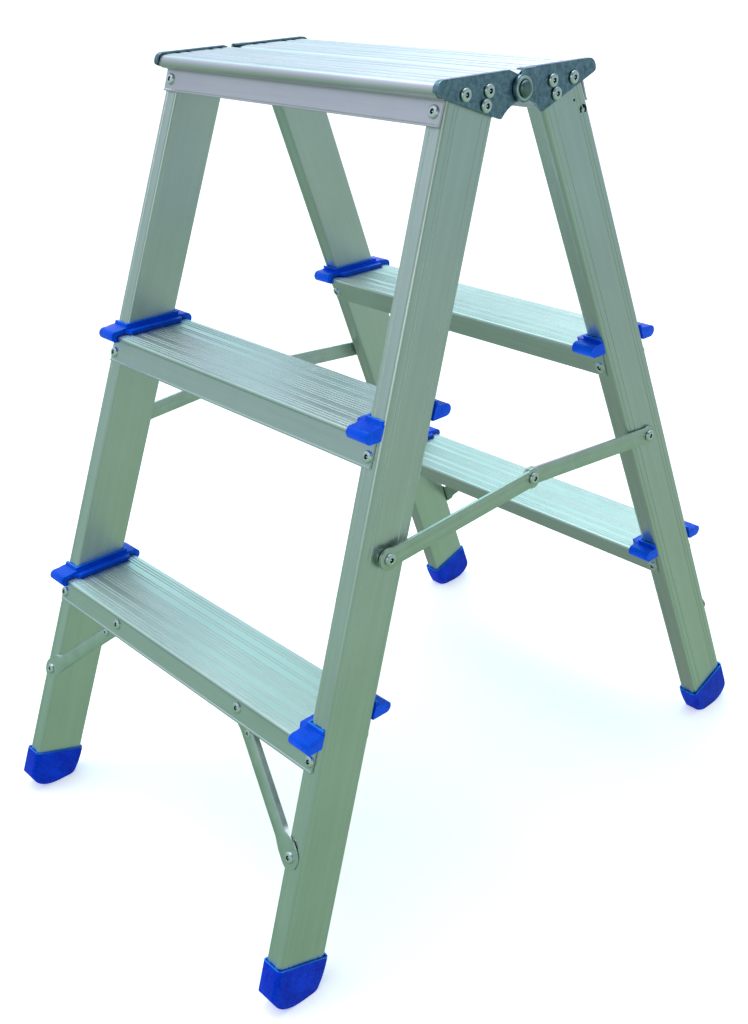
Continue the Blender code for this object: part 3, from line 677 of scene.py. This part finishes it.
def fold_share(along, length):
    """How far the brace's edges are folded: none round both rivets, all of it in between."""
    share = min(max((along - 0.009) / BRACE_RAMP, 0), 1, max((length - 0.004 - along) / BRACE_RAMP, 0))
    return share * share * (3 - 2 * share)


def brace_mesh():
    """A pressed strip, flat round its rivets and folded back along both edges between them, wider on one."""
    length = brace_length()
    flat = BRACE_HALF_WIDTH - BRACE_EDGE
    work = bmesh.new()
    rows = []
    for i in range(61):
        along = length * i / 60
        share = fold_share(along, length)
        depth = BRACE_FOLD * share
        points = []
        for side, narrower, slant in ((-1, 0.0056, 0.0016), (1, 0.0017, 0.0002)):
            web = flat - narrower * share
            bend = [(side * (web + slant * share), -depth), (side * (web + slant * 0.3 * share), -depth * 0.30)]
            bend += [(side * (web + 0.00005 * share), -depth * 0.08), (side * (web - 0.0006), 0)]
            points += bend if side < 0 else bend[::-1]
        rows.append([work.verts.new((along, y, z)) for y, z in points])
    for near, far in zip(rows, rows[1:]):
        for i in range(len(near) - 1):
            work.faces.new((near[i], near[i + 1], far[i + 1], far[i]))
    for row, centre, turn in ((rows[0], 0, -1), (rows[-1], length, 1)):
        rim = []
        for i in range(1, 12):
            angle = math.radians(-90 + 180 * i / 12)
            x = centre + turn * flat * math.cos(angle)
            rim.append(work.verts.new((x, flat * math.sin(angle), 0)))
        work.faces.new([*row, *rim[::-1]])
    mesh = bpy.data.meshes.new("brace")
    work.to_mesh(mesh)
    work.free()
    obj = temporary(tidy(mesh))
    solid = obj.modifiers.new("sheet", "SOLIDIFY")
    solid.thickness = BRACE_SHEET - 0.0001
    solid.offset = -1
    mesh = mesh_of(obj)
    mesh.transform(brace_frame())
    return tidy(mesh)


# ---------------------------------------------------------------- materials


def new_material(name):
    material = bpy.data.materials.new(name)
    material.use_nodes = True
    tree = material.node_tree
    return material, tree, tree.nodes["Principled BSDF"]


def node(tree, kind, inputs=None, **settings):
    made = tree.nodes.new(kind)
    for key, value in settings.items():
        setattr(made, key, value)
    for key, value in (inputs or {}).items():
        if isinstance(value, bpy.types.NodeSocket):
            tree.links.new(value, made.inputs[key])
        else:
            made.inputs[key].default_value = value
    return made


def math_of(tree, operation, first, second=0.0, clamp=False):
    made = node(tree, "ShaderNodeMath", {0: first, 1: second}, operation=operation, use_clamp=clamp)
    return made.outputs[0]


def noise_of(tree, vector, scale, detail=3.0, roughness=0.55):
    inputs = {"Vector": vector, "Scale": scale, "Detail": detail, "Roughness": roughness}
    return node(tree, "ShaderNodeTexNoise", inputs).outputs[0]


def ramp_of(tree, factor, stops):
    made = node(tree, "ShaderNodeValToRGB", {0: factor})
    ramp = made.color_ramp
    while len(ramp.elements) < len(stops):
        ramp.elements.new(0.5)
    for element, (place, colour) in zip(ramp.elements, stops):
        element.position = place
        element.color = (*colour, 1) if isinstance(colour, tuple) else (colour, colour, colour, 1)
    return made.outputs[0]


def grain_vector(tree, kind):
    """A space in which a stile's or a tread's die lines run along the third axis, and the plain one."""
    coordinate = node(tree, "ShaderNodeTexCoord").outputs["Object"]
    parts = node(tree, "ShaderNodeSeparateXYZ", {0: coordinate}).outputs
    if kind == "stile":
        along = parts[2]
        inward, lean = math_of(tree, "MULTIPLY", along, SPLAY), math_of(tree, "MULTIPLY", along, LEAN)
        across = math_of(tree, "ADD", math_of(tree, "ABSOLUTE", parts[0]), inward)
        deep = math_of(tree, "ADD", math_of(tree, "ABSOLUTE", parts[1]), lean)
    else:
        across, deep, along = parts[1], parts[2], parts[0]
    long_way = math_of(tree, "MULTIPLY", along, GRAIN_STRETCH)
    return node(tree, "ShaderNodeCombineXYZ", {0: across, 1: deep, 2: long_way}).outputs[0], coordinate


def aluminium(name, kind, colour, roughness):
    """Extruded aluminium: fine die lines along its length, faint clouds and a few small marks."""
    material, tree, shader = new_material(name)
    grain, place = grain_vector(tree, kind)
    lines = noise_of(tree, grain, 900, 2.0, 0.7)
    bands = noise_of(tree, grain, 140, 2.0, 0.5)
    clouds = noise_of(tree, place, 14, 4.0, 0.6)
    mixed = math_of(tree, "ADD", math_of(tree, "MULTIPLY", lines, 0.35), math_of(tree, "MULTIPLY", bands, 0.30))
    mixed = math_of(tree, "ADD", mixed, math_of(tree, "MULTIPLY", clouds, 0.35))
    dark = tuple(c * (1 - STREAK) for c in colour)
    light = tuple(min(1.0, c * (1 + STREAK)) for c in colour)
    tint = ramp_of(tree, mixed, ((0.30, dark), (0.70, light)))
    dots = node(tree, "ShaderNodeTexVoronoi", {"Vector": place, "Scale": 46.0}, feature="F1")
    near = ramp_of(tree, dots.outputs["Distance"], ((0.022, 1.0), (0.034, 0.0)))
    pick = ramp_of(tree, noise_of(tree, place, 31, 1.0), ((0.60, 0.0), (0.66, 1.0)))
    mark = math_of(tree, "MULTIPLY", math_of(tree, "MULTIPLY", near, pick), 0.55)
    blend = node(tree, "ShaderNodeMix", {0: mark, 6: tint, 7: (0.16, 0.18, 0.17, 1)}, data_type="RGBA")
    tree.links.new(blend.outputs[2], shader.inputs["Base Color"])
    shader.inputs["Metallic"].default_value = 1.0
    rough = node(tree, "ShaderNodeMapRange", {0: mixed, 1: 0.3, 2: 0.7, 3: roughness - 0.05, 4: roughness + 0.07})
    tree.links.new(rough.outputs[0], shader.inputs["Roughness"])
    height = math_of(tree, "ADD", math_of(tree, "MULTIPLY", lines, 0.5), math_of(tree, "MULTIPLY", clouds, 0.6))
    bump = node(tree, "ShaderNodeBump", {"Strength": 0.10, "Distance": 0.0004, "Height": height})
    tree.links.new(bump.outputs[0], shader.inputs["Normal"])
    return material


def zinc(name, dark, light, roughness, scale=90):
    """Zinc-plated sheet: mottled, with a slightly uneven sheen."""
    material, tree, shader = new_material(name)
    place = node(tree, "ShaderNodeTexCoord").outputs["Object"]
    clouds = noise_of(tree, place, scale, 5.0, 0.65)
    fine = noise_of(tree, place, scale * 9, 2.0, 0.6)
    mixed = math_of(tree, "ADD", math_of(tree, "MULTIPLY", clouds, 0.75), math_of(tree, "MULTIPLY", fine, 0.25))
    tint = ramp_of(tree, mixed, ((0.34, dark), (0.66, light)))
    tree.links.new(tint, shader.inputs["Base Color"])
    shader.inputs["Metallic"].default_value = 1.0
    rough = node(tree, "ShaderNodeMapRange", {0: clouds, 1: 0.3, 2: 0.7, 3: roughness - 0.06, 4: roughness + 0.08})
    tree.links.new(rough.outputs[0], shader.inputs["Roughness"])
    bump = node(tree, "ShaderNodeBump", {"Strength": 0.12, "Distance": 0.0004, "Height": mixed})
    tree.links.new(bump.outputs[0], shader.inputs["Normal"])
    return material


def plastic(name, dark, light, roughness, grain=700.0, bumpiness=0.10, shine=0.30):
    """Moulded plastic: a fine orange-peel skin and slightly uneven colour."""
    material, tree, shader = new_material(name)
    place = node(tree, "ShaderNodeTexCoord").outputs["Object"]
    clouds = noise_of(tree, place, 60, 3.0, 0.6)
    skin = noise_of(tree, place, grain, 2.0, 0.6)
    mixed = math_of(tree, "ADD", math_of(tree, "MULTIPLY", clouds, 0.5), math_of(tree, "MULTIPLY", skin, 0.5))
    tree.links.new(ramp_of(tree, mixed, ((0.35, dark), (0.65, light))), shader.inputs["Base Color"])
    rough = node(tree, "ShaderNodeMapRange", {0: clouds, 1: 0.3, 2: 0.7, 3: roughness - 0.05, 4: roughness + 0.08})
    tree.links.new(rough.outputs[0], shader.inputs["Roughness"])
    bump = node(tree, "ShaderNodeBump", {"Strength": bumpiness, "Distance": 0.0005, "Height": skin})
    tree.links.new(bump.outputs[0], shader.inputs["Normal"])
    shader.inputs["Specular IOR Level"].default_value = shine
    shader.inputs["Specular Tint"].default_value = (0.0, 0.7, 1.0, 1)
    return material


MATERIALS = {
    "stile": aluminium("stile_aluminium", "stile", (0.70, 0.76, 0.73), 0.36),
    "tread": aluminium("tread_aluminium", "tread", (0.69, 0.755, 0.74), 0.40),
    # The platform is the treads' aluminium; its lavender tint is a painted reflection.
    "platform": aluminium("platform_aluminium_reflection_tint", "tread", (0.78, 0.72, 0.79), 0.36),
    "plate": zinc("plate_zinc", (0.10, 0.175, 0.25), (0.33, 0.46, 0.57), 0.36, 240),
    "link": zinc("link_zinc", (0.58, 0.66, 0.62), (0.72, 0.79, 0.75), 0.36, 60),
    "pivot": zinc("pivot_zinc", (0.14, 0.20, 0.22), (0.24, 0.32, 0.34), 0.34, 200),
    "rivet": zinc("rivet_steel", (0.74, 0.80, 0.81), (0.90, 0.94, 0.96), 0.26, 300),
    "insert": plastic("insert_plastic", (0.001, 0.048, 0.60), (0.004, 0.084, 0.84), 0.30),
    "foot": plastic("foot_plastic", (0.0, 0.008, 0.36), (0.0010, 0.040, 0.70), 0.46, 420.0, 0.30, 0.16),
    # The rim material is a painted highlight on the up-facing tops of the feet and inserts.
    "rim": plastic("painted_highlight_plastic", (0.006, 0.15, 0.88), (0.016, 0.24, 0.98), 0.34),
    # The dark material is painted shade in the rivet hollows, the stop hole and the punch mark.
    "dark": plastic("painted_hole_shade", (0.006, 0.008, 0.007), (0.015, 0.018, 0.016), 0.7),
}


# ---------------------------------------------------------------- putting the pieces together


def add(name, mesh, look, body, replaces=None):
    """One named piece on its body. Its second-material faces take a painted highlight on plastic and painted shade
    on metal.
    """
    mesh.name = name
    # The second material is a painted highlight on plastic tops and painted shade in metal hollows.
    second = "rim" if look in ("insert", "foot") else "dark"
    painted_light_faces = [face.index for face in mesh.polygons if face.material_index]
    mesh.materials.clear()
    mesh.materials.append(MATERIALS[look])
    if painted_light_faces:
        mesh.materials.append(MATERIALS[second])
        for index in painted_light_faces:
            mesh.polygons[index].material_index = 1
    mesh.shade_smooth()
    mesh.set_sharp_from_angle(angle=math.radians(SHARP_ANGLE))
    obj = bpy.data.objects.new(name, mesh)
    bpy.context.scene.collection.objects.link(obj)
    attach(obj, body)
    if replaces:
        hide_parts(replaces)


def add_to_corners(name, mesh, look):
    """A piece of the front right corner, on all four corners."""
    for end, y_side in ENDS:
        for hand, x_side in SIDES:
            add(f"{name}_{end}_{hand}", mirrored(mesh, x_side, y_side), look, end + "_frame")


def add_corners():
    shapes = {"stile": (stile_mesh(), "stile"), "foot": (foot_mesh(), "foot"), "brace": (brace_mesh(), "link")}
    for level, top in TREAD_TOPS.items():
        shapes["insert_" + level] = (insert_mesh(top), "insert")
    for end, y_side in ENDS:
        for hand, x_side in SIDES:
            for kind, (mesh, look) in shapes.items():
                piece = mirrored(mesh, x_side, y_side)
                add(f"{kind}_{end}_{hand}", piece, look, end + "_frame", f"{end}_{kind}_{hand}")


def add_treads():
    shapes = {f"tread_{level}": tread_mesh(top) for level, top in TREAD_TOPS.items()}
    shapes["platform"] = platform_mesh()
    for end, y_side in ENDS:
        for kind, mesh in shapes.items():
            look = "platform" if kind == "platform" else "tread"
            add(f"{kind}_of_{end}", mirrored(mesh, 1, y_side), look, end + "_frame", f"{end}_{kind}")


def add_hinges():
    plates = {end: plate_mesh(end == "front") for end, _ in ENDS}
    for hand, x_side in SIDES:
        for end, _ in ENDS:
            body = end + "_frame"
            plate = mirrored(plates[end], x_side, 1)
            add(f"hinge_plate_{end}_{hand}", plate, "plate", body, f"{end}_hinge_plate_{hand}")
            for number in range(3):
                rivet = mirrored(hinge_rivet_mesh(end == "front", number), x_side, 1)
                cad = f"{end}_hinge_rivet_{hand}_{number + 1}"
                add(f"plate_rivet_{end}_{hand}_{number + 1}", rivet, "rivet", body, cad)
        pivot = mirrored(pivot_rivet_mesh(), x_side, 1)
        add("pivot_of_" + hand, pivot, "pivot", "front_frame", "pivot_rivet_" + hand)
        add("pivot_ring_" + hand, mirrored(pivot_washer_mesh(), x_side, 1), "link", "rear_frame")


def add_spreaders():
    for hand, x_side in SIDES:
        for end, _ in ENDS:
            front = end == "front"
            link = mirrored(link_mesh(front), x_side, 1)
            add(f"link_{end}_{hand}", link, "link", f"{end}_spreader_{hand}", f"{end}_link_{hand}")
            rivet = mirrored(link_end_rivet_mesh(front), x_side, 1)
            add(f"link_end_{end}_{hand}", rivet, "rivet", end + "_frame", f"{end}_link_end_rivet_{hand}")
        rivet = mirrored(link_rivet_mesh(), x_side, 1)
        add("link_middle_" + hand, rivet, "rivet", "front_spreader_" + hand, "link_rivet_" + hand)
        tail = mirrored(link_rivet_tail_mesh(), x_side, 1)
        add("link_tail_" + hand, tail, "rivet", "rear_spreader_" + hand, "link_rivet_tail_" + hand)


def on_leaning_face(x, y, z, outward=1):
    """A rivet's place on one of the front frame's leaning faces, with its axis square to the face."""
    normal = Vector((0, -outward, outward * LEAN)).normalized()
    turn = Vector((0, 0, 1)).rotation_difference(normal).to_matrix().to_4x4()
    return Matrix.Translation((x, y, z)) @ turn


def add_frame_rivets():
    """Rivets that hold the skirts to the stiles and the braces to both, and a stud on each brace."""
    heads = []
    for level, top in (*TREAD_TOPS.items(), ("platform", PLATFORM_TOP)):
        z = top - (0.0204 if level == "platform" else 0.0188)
        x = stile_x(z) - 0.0095
        heads.append((f"skirt_rivet_{level}", x, -(stile_y(z) + GAP + SHEET), z, 1))
        z = top - 0.0213
        heads.append((f"inner_rivet_{level}", x, -(stile_y(z) - STILE_WIDTH - GAP - SHEET), z, -1))
    low_face = GAP + BRACE_SHEET
    heads.append(("brace_foot_rivet", BRACE_LOW[0], -(stile_y(BRACE_LOW[1]) + low_face), BRACE_LOW[1], 1))
    heads.append(("brace_head_rivet", BRACE_HIGH[0], -(stile_y(BRACE_HIGH[1]) + GAP + SHEET), BRACE_HIGH[1], 1))
    profile = blind_rivet(RIVET_HEAD, 0.0021, 0.0022, 0.004)
    for name, x, y, z, outward in heads:
        add_to_corners(name, rivet_mesh(profile, RIVET_HEAD, on_leaning_face(x, y, z, outward)), "rivet")
    at = brace_frame() @ Vector((brace_length() - BRACE_STUD_FROM_HEAD, 0.0, 0.0))
    profile = blind_rivet(STUD_HEAD, 0.0015, 0.0018, 0.003)
    add_to_corners("brace_stud", rivet_mesh(profile, STUD_HEAD, on_leaning_face(at.x, at.y, at.z)), "rivet")


def add_small_marks():
    """High on the rear right stile: a punched hole, drawn as a disc of painted shade, with the end of a stop pin
    in it, and a punch mark, drawn as a small disc of painted shade.
    """
    y, z = STOP_HOLE
    ring = [arc((y, z), 0.0041, 0, 360, 28)[:-1]]
    x = stile_x(z)
    # A disc of painted shade stands for the inside of the hole.
    add("stop_hole_painted_shade", drawn_out(ring, x - 0.0012, x + 0.00012, ALONG_X), "dark", "rear_frame")
    profile = [(0, 0.0009), (0.0011, 0.0008), (0.0018, 0.0003), (0.0019, -0.0006), (0, -0.0006)]
    add("stop_pin", turned(profile, 24, facing_out(x + 0.0002, y - 0.0006, z - 0.0004)), "rivet", "rear_frame")
    y, z = PUNCH_MARK
    x = stile_x(z)
    # A disc of painted shade stands for the punch mark's dimple.
    dimple_shade_disc = drawn_out([arc((y, z), 0.0011, 0, 360, 16)[:-1]], x - 0.0010, x + 0.00008, ALONG_X)
    add("punch_mark_painted_shade", dimple_shade_disc, "dark", "rear_frame")


def add_stage():
    bpy.ops.mesh.primitive_plane_add(size=60, location=(0, 0, -0.0004))
    floor = bpy.context.object
    floor.name = "floor"
    material, _, shader = new_material("floor_pale")
    shader.inputs["Base Color"].default_value = (0.90, 0.90, 0.90, 1)
    shader.inputs["Roughness"].default_value = 0.9
    shader.inputs["Specular IOR Level"].default_value = 0.0
    shader.inputs["Emission Color"].default_value = (1, 1, 1, 1)
    shader.inputs["Emission Strength"].default_value = 0.42
    floor.data.materials.append(material)
    floor.visible_glossy = False

    add_world()
    softbox("overhead", (-0.5, 0.3, 2.6), (0, 0, 0.3), (1.6, 1.6), 16, (0.97, 0.98, 1.0))
    softbox("behind_camera", (1.7, -1.9, 1.25), (0, 0, 0.45), (0.9, 0.7), 4)
    sun = bpy.data.lights.new("sky", "SUN")
    sun.energy = 1.1
    sun.angle = math.radians(60)
    sun.color = (0.97, 0.99, 1.0)
    sky = bpy.data.objects.new("sky", sun)
    bpy.context.scene.collection.objects.link(sky)
    sky.rotation_euler = (math.radians(18), math.radians(-14), 0)
    sky.visible_glossy = False


def sky_ramp(tree, height, stops):
    """Colours against height, divided by the strength that the background multiplies them with."""
    return ramp_of(tree, height, [(place, tuple(c / SKY_STRENGTH for c in colour)) for place, colour in stops])


def add_world():
    """A studio round the ladder: four colour bands by height, blended by side and from front to back."""
    world = bpy.data.worlds.new("studio")
    bpy.context.scene.world = world
    world.use_nodes = True
    tree = world.node_tree
    background = tree.nodes["Background"]
    direction = node(tree, "ShaderNodeTexCoord").outputs["Generated"]
    parts = node(tree, "ShaderNodeSeparateXYZ", {0: direction}).outputs
    height = node(tree, "ShaderNodeMapRange", {0: parts[2], 1: -1.0, 2: 1.0, 3: 0.0, 4: 1.0}).outputs[0]
    near_ground = (
        (0.00, (0.24, 0.29, 0.26)),
        (0.14, (0.20, 0.28, 0.23)),
        (0.25, (0.21, 0.34, 0.25)),
        (0.36, (0.245, 0.435, 0.28)),
    )
    front = sky_ramp(tree, height, (
        *near_ground,
        (0.50, (0.32, 0.47, 0.42)),
        (0.635, (0.46, 0.56, 0.63)),
        (0.80, (0.62, 0.72, 0.80)),
        (1.00, (0.80, 0.90, 1.00)),
    ))
    right = sky_ramp(tree, height, (
        (0.10, (0.20, 0.32, 0.22)),
        (0.185, (0.26, 0.44, 0.27)),
        (0.30, (0.33, 0.48, 0.34)),
        (0.365, (0.38, 0.45, 0.43)),
        (0.43, (0.27, 0.41, 0.41)),
        (0.52, (0.36, 0.48, 0.48)),
        (0.74, (0.20, 0.32, 0.28)),
        (1.00, (0.80, 0.90, 1.00)),
    ))
    front_right = sky_ramp(tree, height, (
        *near_ground,
        (0.55, (0.30, 0.45, 0.40)),
        (0.72, (0.05, 0.12, 0.09)),
        (0.96, (0.05, 0.12, 0.09)),
        (1.00, (0.40, 0.50, 0.50)),
    ))
    left = sky_ramp(tree, height, (
        (0.36, (0.30, 0.42, 0.34)),
        (0.48, (1.10, 0.92, 1.15)),
        (0.54, (1.60, 1.10, 1.65)),
        (0.59, (1.30, 0.95, 1.40)),
        (0.63, (0.32, 0.42, 0.58)),
        (0.70, (0.36, 0.54, 0.68)),
        (0.735, (0.58, 1.05, 1.06)),
        (0.77, (0.92, 1.80, 1.70)),
        (0.86, (0.88, 1.55, 1.48)),
        (1.00, (0.80, 0.90, 1.00)),
    ))
    to_right = math_of(tree, "ADD", math_of(tree, "MULTIPLY", parts[0], 1.6), 0.5, True)
    to_back = math_of(tree, "ADD", math_of(tree, "MULTIPLY", parts[1], 2.2), 0.4, True)
    behind = node(tree, "ShaderNodeMix", {0: to_right, 6: left, 7: right}, data_type="RGBA").outputs[2]
    before = node(tree, "ShaderNodeMix", {0: to_right, 6: front, 7: front_right}, data_type="RGBA").outputs[2]
    around = node(tree, "ShaderNodeMix", {0: to_back, 6: before, 7: behind}, data_type="RGBA").outputs[2]
    tree.links.new(around, background.inputs["Color"])
    background.inputs["Strength"].default_value = SKY_STRENGTH


def softbox(name, place, target, size, power, colour=(1, 1, 1)):
    light = bpy.data.lights.new(name, "AREA")
    light.shape = "RECTANGLE"
    light.size, light.size_y = size
    light.energy = power
    light.color = colour
    obj = bpy.data.objects.new(name, light)
    bpy.context.scene.collection.objects.link(obj)
    obj.location = place
    obj.rotation_mode = "QUATERNION"
    obj.rotation_quaternion = (Vector(target) - Vector(place)).to_track_quat("-Z", "Y")


def add_camera():
    """A camera at the front right and above, looking down, turned very slightly on its axis."""
    yaw, pitch, roll = (math.radians(a) for a in CAMERA_ANGLES)
    forward = Vector((-math.sin(yaw) * math.cos(pitch), math.cos(yaw) * math.cos(pitch), math.sin(pitch)))
    level = Vector((math.cos(yaw), math.sin(yaw), 0))
    upright = level.cross(forward)
    right = math.cos(roll) * level + math.sin(roll) * upright
    up = math.cos(roll) * upright - math.sin(roll) * level
    data = bpy.data.cameras.new("camera")
    data.sensor_width = 36
    data.lens = CAMERA_LENS
    data.shift_x, data.shift_y = CAMERA_SHIFT
    data.clip_start, data.clip_end = 0.05, 100
    camera = bpy.data.objects.new("camera", data)
    bpy.context.scene.collection.objects.link(camera)
    turn = Matrix((right, up, -forward)).transposed().to_4x4()
    camera.matrix_world = Matrix.Translation(CAMERA_PLACE) @ turn
    bpy.context.scene.camera = camera


add_corners()
add_treads()
add_hinges()
add_spreaders()
add_frame_rivets()
add_small_marks()
add_stage()
add_camera()
bpy.context.scene.view_settings.view_transform = "Standard"
